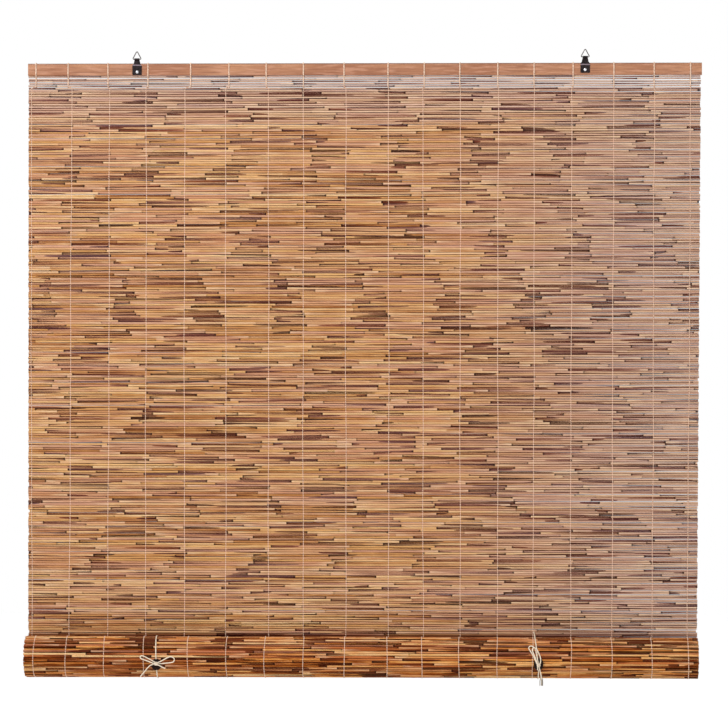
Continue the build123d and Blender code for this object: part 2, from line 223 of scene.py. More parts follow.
def make_sheath_streaks():
    """Dark marks like those that leaf sheaths leave.

    Each starts at a dark spot on a node of the reed and runs out to a point.
    """
    tree, given, made = new_group(
        "sheath_streaks",
        [
            ("Along", "NodeSocketFloat", 0.0),
            ("Around", "NodeSocketFloat", 0.0),
            ("Seed", "NodeSocketFloat", 0.0),
            ("Longest", "NodeSocketFloat", 0.6),
            ("Share", "NodeSocketFloat", 0.8),
            ("Breadth", "NodeSocketFloat", 0.2),
        ],
        [
            ("Streak", "NodeSocketFloat"),
            ("Depth", "NodeSocketFloat"),
            ("Spot", "NodeSocketFloat"),
            ("Shine", "NodeSocketFloat"),
            ("Tint", "NodeSocketFloat"),
            ("Patch", "NodeSocketFloat"),
            ("Fibres", "NodeSocketFloat"),
        ],
    )
    along, around, seed = given["Along"], given["Around"], given["Seed"]
    section = calc(tree, "FLOOR", along)
    from_node = calc(tree, "FRACT", along)

    def chances(shift):
        key = new_node(tree, "ShaderNodeCombineXYZ")
        feed(tree, key.inputs[0], calc(tree, "ADD", section, shift))
        feed(tree, key.inputs[1], calc(tree, "MULTIPLY", seed, 517.3))
        chance = new_node(tree, "ShaderNodeTexWhiteNoise", noise_dimensions="3D")
        feed(tree, chance.inputs["Vector"], key.outputs[0])
        parts = new_node(tree, "ShaderNodeSeparateColor")
        feed(tree, parts.inputs[0], chance.outputs["Color"])
        return parts.outputs

    first, second = chances(0.0), chances(300.0)
    length = calc(tree, "MULTIPLY_ADD", calc(tree, "POWER", first[0], 1.15), given["Longest"], 0.1)
    body = calc(tree, "SUBTRACT", 1.0, calc(tree, "DIVIDE", from_node, length), clamp=True)

    strip = new_node(tree, "ShaderNodeCombineXYZ")
    feed(tree, strip.inputs[0], calc(tree, "MULTIPLY", along, 2.6))
    feed(tree, strip.inputs[1], calc(tree, "MULTIPLY", around, 14.0))
    feed(tree, strip.inputs[2], calc(tree, "MULTIPLY", seed, 93.0))
    fibres = noise(tree, strip.outputs[0], 1.8, 4.0, 0.62)

    turned = calc(tree, "MULTIPLY_ADD", calc(tree, "SUBTRACT", around, first[1]), 2.0, 0.5)
    aside = calc(tree, "ABSOLUTE", calc(tree, "SUBTRACT", calc(tree, "FRACT", turned), 0.5))
    aside = calc(tree, "MULTIPLY", aside, 0.5)
    breadth = calc(tree, "MULTIPLY", calc(tree, "MULTIPLY_ADD", second[0], 1.1, 0.45), given["Breadth"])
    width = calc(tree, "MULTIPLY", calc(tree, "POWER", body, 0.28), breadth)
    ragged = calc(tree, "MULTIPLY_ADD", calc(tree, "SUBTRACT", fibres, 0.5), 0.1, width)
    inside = spread(tree, calc(tree, "SUBTRACT", ragged, aside), 0.0, 0.035)
    present = calc(tree, "LESS_THAN", first[2], given["Share"])
    reached = calc(tree, "GREATER_THAN", body, 0.001)
    streak = calc(tree, "MULTIPLY", calc(tree, "MULTIPLY", inside, present), reached)
    feed(tree, made["Streak"], streak)
    feed(tree, made["Depth"], body)
    near = spread(tree, from_node, 0.016, 0.026, 1.0, 0.0)
    broad = spread(tree, calc(tree, "SUBTRACT", calc(tree, "ADD", breadth, 0.06), aside), 0.0, 0.03)
    feed(tree, made["Spot"], calc(tree, "MULTIPLY", calc(tree, "MULTIPLY", near, broad), present))
    glint = calc(tree, "MULTIPLY", spread(tree, from_node, 0.72, 0.985), spread(tree, fibres, 0.42, 0.58))
    feed(tree, made["Shine"], calc(tree, "MULTIPLY", glint, calc(tree, "GREATER_THAN", second[1], 0.45)))
    feed(tree, made["Tint"], second[1])
    feed(tree, made["Patch"], second[2])
    feed(tree, made["Fibres"], fibres)
    return tree


SHEATH_STREAKS = make_sheath_streaks()


def reed_finish(name, stops, pink, streaks, longest, share, breadth, shade, with_painted_light, whole):
    """Reed skin: a tone for each reed, fibres along it, dark marks at its nodes and painted shade in the grooves
    between reeds.

    With its painted-light flag set it also copies how the photo looks by place: painted light that pales the reeds
    towards the right and the top, with a painted highlight along each reed's front and deeper painted shade in the
    grooves there, and painted shade just above the roll.
    """
    material, tree, shader = new_finish(name)
    uv = new_node(tree, "ShaderNodeUVMap", uv_map="along_reed").outputs[0]
    along = split(tree, uv)
    tone = new_node(tree, "ShaderNodeAttribute", attribute_name="reed_tone")
    tones = new_node(tree, "ShaderNodeSeparateColor")
    feed(tree, tones.inputs[0], tone.outputs["Color"])
    marks = place_group(
        tree,
        SHEATH_STREAKS,
        along=along[0],
        around=along[1],
        seed=tone.outputs["Alpha"],
        longest=longest,
        share=share,
        breadth=breadth,
    )
    places = object_coordinates(tree)
    cloud = noise(tree, scaled_coordinates(tree, places, (16.0, 9.0, 40.0)), 1.6, 2.0)
    speck = noise(tree, scaled_coordinates(tree, places, (60.0, 200.0, 220.0)), 1.0, 3.0)
    level = calc(tree, "MULTIPLY_ADD", marks["Patch"], 1.0 - whole, calc(tree, "MULTIPLY", tones.outputs[0], whole))
    level = spread(tree, level, 0.0, 1.0, 0.08, 0.92, smooth=False)
    level = calc(tree, "ADD", level, calc(tree, "MULTIPLY_ADD", cloud, 0.4, -0.2))
    level = calc(tree, "ADD", level, calc(tree, "MULTIPLY_ADD", marks["Fibres"], 1.2, -0.6), clamp=True)
    skin = ramp(tree, level, stops)
    blush = calc(tree, "MULTIPLY_ADD", marks["Tint"], 0.7, calc(tree, "MULTIPLY", tones.outputs[1], 0.3))
    skin = blend_colours(tree, spread(tree, blush, 0.35, 0.8), skin, pink)
    axes = split(tree, places)
    side = new_node(tree, "ShaderNodeAttribute", attribute_name="toward_next").outputs["Fac"]
    pale = tones.outputs[2]
    skin = blend_colours(tree, pale, skin, srgb(240, 206, 190))
    painted_light = 0.0
    # Painted light: the reeds pale towards the right and the top, and a painted highlight runs along the front of
    # each reed there.
    if with_painted_light:
        painted_light = calc(
            tree,
            "MAXIMUM",
            spread(tree, axes[0], 0.05, 0.55, 0.0, 0.4),
            spread(tree, axes[2], LATH_BOTTOM - 0.12, LATH_BOTTOM - 0.02, 0.0, 0.5),
        )
        skin = blend_colours(tree, painted_light, skin, srgb(190, 160, 154))
        gleam = calc(tree, "MULTIPLY", spread(tree, side, 0.1, 0.5, 1.0, 0.0), calc(tree, "MULTIPLY", painted_light, 1.3))
        skin = blend_colours(tree, gleam, skin, srgb(250, 228, 212))
    skin = blend_colours(tree, calc(tree, "MULTIPLY", speck, 0.3), skin, srgb(150, 96, 60), "MULTIPLY")
    skin = blend_colours(tree, calc(tree, "MULTIPLY", marks["Shine"], 0.6), skin, srgb(250, 220, 180))
    dark = ramp(tree, marks["Tint"], streaks)
    dark = blend_colours(tree, calc(tree, "MULTIPLY", marks["Depth"], 0.45), dark, srgb(48, 20, 14))
    weight = calc(tree, "MULTIPLY", marks["Streak"], calc(tree, "MULTIPLY_ADD", pale, -0.3, 0.95))
    skin = blend_colours(tree, weight, skin, dark)
    skin = blend_colours(tree, calc(tree, "MULTIPLY", marks["Spot"], 0.7), skin, srgb(34, 14, 12))
    # Painted shade in the grooves between the reeds, deeper where the light is painted towards the right and the
    # top.
    uneven = noise(tree, scaled_coordinates(tree, places, (14.0, 150.0, 150.0)), 1.0, 1.0)
    groove_shade_depth = calc(tree, "MULTIPLY_ADD", painted_light, 0.9, spread(tree, uneven, 0.38, 0.62, 0.1, 1.0))
    groove_shade = calc(tree, "MULTIPLY", spread(tree, side, 0.55, 0.95, 0.0, shade), groove_shade_depth, clamp=True)
    skin = blend_colours(tree, groove_shade, skin, srgb(104, 46, 18), "MULTIPLY")
    # Painted shade on the front of the mat just above the roll.
    if with_painted_light:
        skin = blend_colours(tree, roll_shade(tree, axes[2]), skin, srgb(124, 40, 8), "MULTIPLY")
    feed(tree, shader.inputs["Base Color"], skin)
    feed(tree, shader.inputs["Roughness"], spread(tree, marks["Fibres"], 0.2, 0.8, 0.45, 0.65))
    shader.inputs["Specular IOR Level"].default_value = 0.03
    add_bump(tree, shader, 0.35, 0.0004, marks["Fibres"])
    return material


def roll_shade(tree, height):
    """Painted shade: where the front of the mat is darkened just above the roll, as it looks in the photo."""
    facing = new_node(tree, "ShaderNodeNewGeometry").outputs["True Normal"]
    front = spread(tree, split(tree, facing)[1], -0.1, 0.3, 1.0, 0.0)
    return calc(tree, "MULTIPLY", spread(tree, height, MAT_BOTTOM + 0.0388, MAT_BOTTOM + 0.0350, 0.0, 0.8), front)


HANGING_STOPS = [
    (0.0, srgb(150, 88, 46)),
    (0.22, srgb(196, 134, 78)),
    (0.45, srgb(224, 168, 106)),
    (0.7, srgb(238, 188, 124)),
    (1.0, srgb(255, 220, 170)),
]
HANGING_STREAKS = [
    (0.0, srgb(28, 14, 18)),
    (0.2, srgb(68, 22, 26)),
    (0.4, srgb(104, 38, 26)),
    (0.6, srgb(72, 36, 52)),
    (0.8, srgb(122, 52, 36)),
    (1.0, srgb(92, 64, 76)),
]
REED_SKIN = reed_finish(
    "reed_skin", HANGING_STOPS, srgb(218, 160, 124), HANGING_STREAKS, 0.82, 0.98, 0.155, 1.0, True, 0.12
)
ROLL_STOPS = [
    (0.12, srgb(96, 34, 4)),
    (0.3, srgb(172, 88, 26)),
    (0.47, srgb(236, 156, 76)),
    (0.65, srgb(255, 196, 120)),
    (0.86, srgb(255, 216, 160)),
]
ROLL_STREAKS = [
    (0.0, srgb(40, 10, 2)),
    (0.25, srgb(76, 22, 4)),
    (0.5, srgb(108, 38, 10)),
    (0.75, srgb(92, 34, 20)),
    (1.0, srgb(144, 64, 20)),
]
ROLL_SKIN = reed_finish(
    "roll_reed_skin", ROLL_STOPS, srgb(206, 120, 66), ROLL_STREAKS, 0.9, 0.97, 0.25, 1.0, False, 0.32
)


def pith_finish():
    """The cut ends of the reeds: pale and grainy, with darker patches."""
    material, tree, shader = new_finish("reed_pith")
    places = object_coordinates(tree)
    grains = noise(tree, places, 1800.0, 2.0)
    patch = noise(tree, places, 160.0, 2.0)
    colour = ramp(tree, grains, [(0.3, srgb(176, 134, 92)), (0.7, srgb(226, 192, 148))])
    colour = blend_colours(tree, calc(tree, "MULTIPLY", patch, 0.6), colour, srgb(140, 92, 60), "MULTIPLY")
    feed(tree, shader.inputs["Base Color"], colour)
    shader.inputs["Roughness"].default_value = 0.85
    return material


REED_PITH = pith_finish()


def lath_finish():
    """Stained lath: grain along its length, darker patches and pores, paler flecks and a darker upper edge."""
    material, tree, shader = new_finish("lath_wood_grain")
    places = object_coordinates(tree)
    wavy = noise(tree, scaled_coordinates(tree, places, (3.0, 30.0, 60.0)), 1.0, 2.0)
    grain = noise(tree, scaled_coordinates(tree, places, (9.0, 260.0, 420.0)), 1.0, 5.0, 0.65)
    pores = noise(tree, scaled_coordinates(tree, places, (40.0, 900.0, 1300.0)), 1.0, 2.0)
    level = calc(tree, "ADD", grain, calc(tree, "MULTIPLY_ADD", wavy, 0.5, -0.25), clamp=True)
    colour = ramp(
        tree,
        level,
        [
            (0.25, srgb(132, 82, 54)),
            (0.45, srgb(168, 112, 78)),
            (0.6, srgb(186, 130, 92)),
            (0.8, srgb(204, 150, 110)),
        ],
    )
    axes = split(tree, places)
    shifts = noise(tree, scaled_coordinates(tree, places, (7.0, 7.0, 7.0)), 1.0, 1.0)
    colour = blend_colours(tree, spread(tree, shifts, 0.42, 0.66, 0.0, 0.6), colour, srgb(150, 90, 58))
    flecks = noise(tree, scaled_coordinates(tree, places, (26.0, 60.0, 260.0)), 1.0, 2.0)
    colour = blend_colours(tree, spread(tree, flecks, 0.45, 0.7, 0.0, 0.5), colour, srgb(214, 158, 128))
    rim = spread(tree, axes[2], LATH_TOP - 0.0022, LATH_TOP - 0.0006, 0.0, 0.75)
    colour = blend_colours(tree, rim, colour, srgb(92, 62, 50))
    colour = blend_colours(tree, spread(tree, pores, 0.55, 0.75, 0.0, 0.5), colour, srgb(96, 52, 36))
    feed(tree, shader.inputs["Base Color"], colour)
    feed(tree, shader.inputs["Roughness"], spread(tree, grain, 0.2, 0.8, 0.4, 0.6))
    add_bump(tree, shader, 0.25, 0.0003, grain)
    return material


LATH_WOOD = lath_finish()


def make_twist():
    """The lay of a twisted cord: slanting grooves round it, from its own length and turn."""
    tree, given, made = new_group(
        "cord_twist",
        [
            ("Coordinates", "NodeSocketVector", None),
            ("Lays", "NodeSocketFloat", 400.0),
            ("Ply", "NodeSocketFloat", 3.0),
        ],
        [("Groove", "NodeSocketFloat"), ("Fuzz", "NodeSocketFloat")],
    )
    parts = split(tree, given["Coordinates"])
    turn = calc(tree, "MULTIPLY", parts[1], given["Ply"])
    phase = calc(tree, "MULTIPLY_ADD", parts[0], given["Lays"], turn)
    wave = calc(tree, "SINE", calc(tree, "MULTIPLY", phase, math.tau))
    feed(tree, made["Groove"], calc(tree, "MULTIPLY_ADD", wave, 0.5, 0.5))
    feed(tree, made["Fuzz"], noise(tree, object_coordinates(tree), 2600.0, 3.0))
    return tree


CORD_TWIST = make_twist()


def thread_finish(name, light, dark, lays, roughness):
    """Cotton, with painted light on the crest of each ply and painted shade in the grooves."""
    material, tree, shader = new_finish(name)
    uv = new_node(tree, "ShaderNodeUVMap", uv_map="UVMap").outputs[0]
    marks = place_group(tree, CORD_TWIST, coordinates=uv, lays=lays, ply=3.0)
    soil = noise(tree, object_coordinates(tree), 45.0, 3.0)
    # Painted shade in the grooves between the plies, and painted light on their crests.
    colour = blend_colours(tree, marks["Groove"], dark, light)
    colour = blend_colours(tree, spread(tree, soil, 0.4, 0.75, 0.0, 0.45), colour, dark)
    colour = blend_colours(tree, calc(tree, "MULTIPLY", marks["Fuzz"], 0.3), colour, dark, "MULTIPLY")
    feed(tree, shader.inputs["Base Color"], colour)
    shader.inputs["Roughness"].default_value = roughness
    add_bump(tree, shader, 0.6, 0.0003, marks["Groove"])
    return material


WARP_COTTON = thread_finish("warp_cotton", srgb(255, 236, 214), srgb(232, 192, 166), 6.0, 0.85)
TIE_COTTON = thread_finish("tie_cotton", srgb(255, 248, 232), srgb(244, 224, 196), 26.0, 0.85)
FRAYED_COTTON = thread_finish("frayed_cotton", srgb(206, 198, 188), srgb(160, 151, 140), 26.0, 0.9)


def metal_finish(name, light, dark, roughness, metallic, scale, bump_depth):
    """A mottled skin, for sheet metal, wire and moulded plastic."""
    material, tree, shader = new_finish(name)
    places = object_coordinates(tree)
    mottle = noise(tree, places, scale, 4.0, 0.6)
    fine = noise(tree, places, scale * 6.0, 2.0)
    feed(tree, shader.inputs["Base Color"], blend_colours(tree, spread(tree, mottle, 0.3, 0.7), dark, light))
    feed(tree, shader.inputs["Roughness"], spread(tree, mottle, 0.3, 0.7, roughness - 0.08, roughness + 0.1))
    shader.inputs["Metallic"].default_value = metallic
    add_bump(tree, shader, 0.3, bump_depth, fine)
    return material


STRAP_STEEL = metal_finish("strap_dark_steel", srgb(40, 31, 33), srgb(16, 10, 12), 0.38, 0.75, 320.0, 0.0001)
RING_ZINC = metal_finish("ring_galvanised_wire", srgb(120, 114, 112), srgb(66, 62, 62), 0.34, 0.9, 600.0, 0.0001)
SCREW_ZINC = metal_finish("screw_bright_zinc", srgb(232, 232, 236), srgb(170, 170, 176), 0.24, 0.95, 500.0, 0.00005)
TOGGLE_SKIN = metal_finish("toggle_moulded_skin", srgb(44, 28, 20), srgb(16, 8, 6), 0.7, 0.0, 260.0, 0.0001)
TOGGLE_SKIN.node_tree.nodes["Principled BSDF"].inputs["Specular IOR Level"].default_value = 0.1


def add_painted_highlight_band(material):
    """A painted highlight: a paler band across the strap, just below the lath's upper edge, as it looks in the
    photo.
    """
    tree = material.node_tree
    shader = tree.nodes["Principled BSDF"]
    below = shader.inputs["Base Color"].links[0].from_socket
    axes = split(tree, object_coordinates(tree))
    ragged = noise(tree, scaled_coordinates(tree, object_coordinates(tree), (300.0, 300.0, 90.0)), 1.0, 2.0)
    height = calc(tree, "MULTIPLY_ADD", ragged, 0.0008, axes[2])
    band = calc(
        tree,
        "MULTIPLY",
        spread(tree, height, LATH_TOP - 0.0042, LATH_TOP - 0.0032),
        spread(tree, height, LATH_TOP - 0.0024, LATH_TOP - 0.0014, 1.0, 0.0),
    )
    highlighted = blend_colours(tree, calc(tree, "MULTIPLY", band, 0.85), below, srgb(142, 126, 134))
    feed(tree, shader.inputs["Base Color"], highlighted)


# A painted highlight across the strap.
add_painted_highlight_band(STRAP_STEEL)


# Reeds


def select_only(piece):
    bpy.ops.object.select_all(action="DESELECT")
    piece.select_set(True)
    bpy.context.view_layer.objects.active = piece


def reed_section(sides, radius, start):
    """The first section of a reed, a filled circle across X."""
    bpy.ops.object.select_all(action="DESELECT")
    bpy.ops.mesh.primitive_circle_add(
        vertices=sides,
        radius=radius,
        fill_type="NGON",
        location=(start, 0, 0),
        rotation=(0, math.radians(90), 0),
    )
    bpy.ops.object.transform_apply(location=True, rotation=True, scale=True)
    return bpy.context.object


def grow_section(step, across, up, swell, end):
    """Draw the open end of a reed on by one section."""
    bpy.ops.mesh.extrude_region_move(TRANSFORM_OT_translate={"value": (step, across, up)})
    bpy.ops.transform.resize(value=(1, swell, swell), center_override=(end, 0, 0))


def map_along(reed, nodes, offset):
    """The reed's own map: counted nodes along it, and the turn round it."""
    mesh = reed.data
    layer = mesh.uv_layers[0] if mesh.uv_layers else mesh.uv_layers.new(name="along_reed")
    layer.name = "along_reed"
    for face in mesh.polygons:
        turns = []
        for corner in face.loop_indices:
            point = mesh.vertices[mesh.loops[corner].vertex_index].co
            turns.append((math.atan2(point.z, point.y) / math.tau) % 1.0)
        wraps = max(turns) - min(turns) > 0.5
        for corner, turn in zip(face.loop_indices, turns):
            x = mesh.vertices[mesh.loops[corner].vertex_index].co.x
            index = max(0, min(len(nodes) - 2, sum(1 for node in nodes if node <= x) - 1))
            share = (x - nodes[index]) / (nodes[index + 1] - nodes[index])
            layer.data[corner].uv = (offset + index + share, turn + 1.0 if wraps and turn < 0.5 else turn)


def master_reed(number, sides, radius, internode, between):
    """One long reed, swollen at its nodes and a little uneven in thickness between them."""
    rng = random.Random(700 + number)
    start = -0.95
    nodes = [start - 0.02]
    while nodes[-1] < 0.95:
        nodes.append(nodes[-1] + internode * rng.uniform(0.93, 1.07))
    stations = []
    for node, following in zip(nodes, nodes[1:]):
        stations.append((node, 1.07))
        stations.append((node + 0.004, 1.0))
        for part in range(1, between + 1):
            place = node + 0.004 + (following - node - 0.009) * part / (between + 1)
            stations.append((place, rng.uniform(0.965, 1.02)))
        stations.append((following - 0.005, 1.0))
    stations = [station for station in stations if station[0] > start + 0.002]
    reed = reed_section(sides, radius, start)
    reed.name = "reed_master_" + str(number)
    bpy.ops.object.mode_set(mode="EDIT")
    bpy.ops.mesh.select_all(action="SELECT")
    x = start
    size = 1.0
    for place, swell in stations:
        grow_section(place - x, 0.0, 0.0, swell / size, place)
        x = place
        size = swell
    bpy.ops.object.mode_set(mode="OBJECT")
    map_along(reed, nodes, number * 20.0)
    tone = reed.data.attributes.new("reed_tone", "FLOAT_COLOR", "POINT")
    tone.data.foreach_set("color", [0.0] * (4 * len(reed.data.vertices)))
    reed.data.attributes.new("toward_next", "FLOAT", "POINT")
    return reed


def lay_reed(master, radius_share, turn, flip, shift, y, z, slope, ends, tones, lay=90.0, thin=0.0):
    """A copy of a master reed in its row, trimmed to the mat's edges.

    lay is the way to the next row in degrees, and thin is the share by which the reed narrows towards the right.
    """
    reed = master.copy()
    reed.data = master.data.copy()
    bpy.context.collection.objects.link(reed)
    placing = Matrix.Translation((shift, y, z))
    placing = placing @ Matrix.Rotation(slope, 4, "Y")
    placing = placing @ Matrix.Rotation(math.pi if flip else 0.0, 4, "Z")
    placing = placing @ Matrix.Rotation(turn, 4, "X")
    placing = placing @ Matrix.Diagonal((1.0, radius_share, radius_share, 1.0))
    reed.data.transform(placing)
    reed.data.attributes["reed_tone"].data.foreach_set("color", list(tones) * len(reed.data.vertices))
    toward = (math.cos(math.radians(lay)), math.sin(math.radians(lay)))
    sides = []
    for vertex in reed.data.vertices:
        across, up = vertex.co.y - y, vertex.co.z - z + math.tan(slope) * (vertex.co.x - shift)
        reach = math.hypot(across, up) or 1.0
        sides.append(abs(across * toward[0] + up * toward[1]) / reach)
        if thin:
            less = thin * max(0.0, min(1.0, (vertex.co.x - 0.3) / 0.25))
            vertex.co.y -= across * less
            vertex.co.z -= up * less
    reed.data.attributes["toward_next"].data.foreach_set("value", sides)
    select_only(reed)
    bpy.ops.object.mode_set(mode="EDIT")
    for place, inner in ((ends[0], True), (ends[1], False)):
        bpy.ops.mesh.select_all(action="SELECT")
        bpy.ops.mesh.bisect(
            plane_co=(place, 0, 0), plane_no=(1, 0, 0), clear_inner=inner, clear_outer=not inner, use_fill=True
        )
    bpy.ops.object.mode_set(mode="OBJECT")
    return reed


def join_pieces(pieces, name):
    bpy.ops.object.select_all(action="DESELECT")
    for piece in pieces:
        piece.select_set(True)
    bpy.context.view_layer.objects.active = pieces[0]
    if len(pieces) > 1:
        bpy.ops.object.join()
    whole = bpy.context.object
    whole.name = name
    whole.data.name = name
    return whole


def finish_reeds(reeds, skin):
    """Skin on the sides and pith on the cut ends, with the sides smooth."""
    mesh = reeds.data
    mesh.materials.clear()
    mesh.materials.append(skin)
    mesh.materials.append(REED_PITH)
    cut = [1 if abs(face.normal.x) > 0.9 else 0 for face in mesh.polygons]
    mesh.polygons.foreach_set("material_index", cut)
    select_only(reeds)
    bpy.ops.object.shade_smooth_by_angle(angle=math.radians(60))


def waver(piece, label, size, height, axis):
    """Let the rows wander a little, as they do in the photo."""
    clouds = bpy.data.textures.new(label, "CLOUDS")
    clouds.noise_scale = size
    clouds.noise_depth = 1
    displace = piece.modifiers.new(label, "DISPLACE")
    displace.texture = clouds
    displace.texture_coords = "LOCAL"
    displace.direction = axis
    displace.mid_level = 0.5
    displace.strength = height
    select_only(piece)
    bpy.ops.object.modifier_apply(modifier=label)


# Rows drift along X, up to the span either way and by this step from one row to the next of its family
DRIFT_SPAN = 0.17
DRIFT_STEP = 0.0065


def within_span(drift):
    return (drift + DRIFT_SPAN) % (2 * DRIFT_SPAN) - DRIFT_SPAN


MASTERS = [master_reed(number, 8, 0.00212, 0.145, 1) for number in range(8)]
rng = random.Random(41)

# Hanging mat: rows drift along X against each other, so that the streaks gather in slanting bands
hanging_rows = []
drifts = [0.0, 0.06]
for row in range(HANGING_ROWS):
    family = row % 2
    drifts[family] += (DRIFT_STEP if family else -DRIFT_STEP) + rng.uniform(-0.012, 0.012)
    if rng.random() < 0.15:
        drifts[family] += rng.uniform(-0.06, 0.06)
    drifts[family] = within_span(drifts[family])
    open_row = row < OPEN_ROWS
    share = rng.uniform(0.8, 0.86) if open_row else rng.uniform(1.05, 1.1)
    pale = rng.uniform(0.0, 0.45) if open_row else max(0.0, rng.uniform(-0.25, 0.25))
    tones = (rng.betavariate(1.1, 1.1), rng.uniform(0.0, 0.75), pale, rng.random())
    down = row / HANGING_ROWS
    ends = (
        MAT_LEFT + abs(rng.gauss(0.0, 0.0007)),
        MAT_RIGHT + MAT_RIGHT_OUT - MAT_RIGHT_IN * down - abs(rng.gauss(0.0, 0.0008)),
    )
    hanging_rows.append(
        lay_reed(
            MASTERS[rng.randrange(len(MASTERS))],
            share,
            rng.uniform(0.0, math.tau),
            bool(family) ^ (rng.random() < 0.2),
            drifts[family],
            rng.uniform(-0.00015, 0.00015),
            LATH_BOTTOM - (row + 0.5) * ROW_PITCH + rng.uniform(-0.0002, 0.0002),
            rng.gauss(0.0, 0.0003),
            ends,
            tones,
            thin=0.1,
        )
    )
hanging_reeds = join_pieces(hanging_rows, "hanging_reeds")
finish_reeds(hanging_reeds, REED_SKIN)
waver(hanging_reeds, "row_waver", 0.14, 0.0012, "Z")
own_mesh(hanging_reeds)
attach(hanging_reeds, "head")
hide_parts("hanging_reed_mat")


# Roll: the outer turn as full reeds, the turns inside it as plainer ones
def roll_place(angle, number, outward):
    """A point of a turn of the roll: angle from the rear, down and forward."""
    half = number + (1 if angle > 180 else 0)
    radius = ROLL_RADIUS - half * TURN_PITCH / 2 + outward
    centre = AXIS_Y - (TURN_PITCH / 2 if half % 2 else 0.0)
    turn = math.radians(angle)
    return centre + radius * math.cos(turn), AXIS_Z - radius * math.sin(turn)


def turn_rows(number):
    """The angles of the reeds in one turn, at the mat's own pitch."""
    angles = []
    for half in (0, 1):
        radius = ROLL_RADIUS - (number + half) * TURN_PITCH / 2
        rows = max(1, round(math.pi * radius / ROW_PITCH))
        angles += [180 * half + 180 * (row + 0.5) / rows for row in range(rows)]
    return angles


roll_rows = []
drifts = [0.03, -0.05]
for row, angle in enumerate(turn_rows(0)):
    family = row % 2
    drifts[family] += (DRIFT_STEP if family else -DRIFT_STEP) + rng.uniform(-0.02, 0.02)
    drifts[family] = within_span(drifts[family])
    y, z = roll_place(angle, 0, 0.0)
    tones = (rng.betavariate(0.8, 0.9), rng.uniform(0.0, 0.7), max(0.0, rng.uniform(-0.4, 0.12)), rng.random())
    roll_rows.append(
        lay_reed(
            MASTERS[rng.randrange(len(MASTERS))],
            rng.uniform(0.92, 1.08),
            rng.uniform(0.0, math.tau),
            bool(family) ^ (rng.random() < 0.2),
            drifts[family],
            y,
            z,
            rng.gauss(0.0, 0.001),
            (MAT_LEFT + abs(rng.gauss(0.0, 0.0009)), ROLL_RIGHT - abs(rng.gauss(0.0, 0.0009))),
            tones,
            lay=-angle - 90.0,
        )
    )
plain_master = master_reed(20, 8, 0.0019, 0.8, 0)
for number in (2, 4, 6):
    for angle in turn_rows(number):
        y, z = roll_place(angle, number, 0.0)
        tones = (rng.betavariate(0.9, 1.0), rng.uniform(0.0, 0.7), 0.0, rng.random())
        ends = (MAT_LEFT - 0.0002 + abs(rng.gauss(0.0, 0.001)), INNER_RIGHT - abs(rng.gauss(0.0, 0.001)))
        roll_rows.append(
            lay_reed(plain_master, rng.uniform(0.95, 1.05), rng.uniform(0, 6), False, 0.0, y, z, 0.0, ends, tones)
        )
# The innermost half turn
LAST_ROWS = 11
for angle in [180 * (row + 0.5) / LAST_ROWS for row in range(LAST_ROWS)]:
    y, z = roll_place(angle, 8, 0.0)
    tones = (rng.betavariate(0.9, 1.0), rng.uniform(0.0, 0.7), 0.0, rng.random())
    ends = (MAT_LEFT + abs(rng.gauss(0.0, 0.001)), INNER_RIGHT - abs(rng.gauss(0.0, 0.001)))
    roll_rows.append(lay_reed(plain_master, 1.0, rng.uniform(0, 6), False, 0.0, y, z, 0.0, ends, tones))
rolled_reeds = join_pieces(roll_rows, "rolled_reeds")
finish_reeds(rolled_reeds, ROLL_SKIN)
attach(rolled_reeds, "roll")
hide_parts("reed_roll")
for master in [*MASTERS, plain_master]:
    bpy.data.objects.remove(master)


# Warp threads: two strands twined round the reeds, crossing between one reed and the next


def smooth_tube(name, points, diameter, steps, sides, finish):
    """A tube along a smooth line whose control points are given."""
    line = bpy.data.curves.new(name, "CURVE")
    line.dimensions = "3D"
    line.bevel_depth = diameter / 2
    line.bevel_resolution = sides
    line.resolution_u = steps
    line.use_fill_caps = True
    spline = line.splines.new("NURBS")
    spline.points.add(len(points) - 1)
    for point, place in zip(spline.points, points):
        point.co = (*place, 1.0)
    spline.order_u = 3
    spline.use_endpoint_u = True
    tube = bpy.data.objects.new(name, line)
    bpy.context.collection.objects.link(tube)
    line.materials.append(finish)
    return tube


def tube_to_mesh(tube):
    select_only(tube)
    bpy.ops.object.convert(target="MESH")
    return bpy.context.object


def thread_x(index, z):
    """Where a thread hangs at a height: lashed rows follow the lath's lashing, the others the mat's own line."""
    down = max(0.0, min(1.0, (LATH_BOTTOM - z) / (LATH_BOTTOM - MAT_BOTTOM)))
    lashed = max(0.0, min(1.0, LASHED_ROWS + 0.5 - (LATH_BOTTOM - z) / ROW_PITCH))
    top, upper, lower = THREADS_TOP[index], THREADS_UPPER[index], THREADS_LOWER[index]
    sway = 0.5 * math.sin(down * 9.0 + index * 1.7) + 0.4 * math.sin(down * 23.0 + index * 3.1)
    return ((upper + (lower - upper) * down + sway) * (1 - lashed) + top * lashed) / 1000


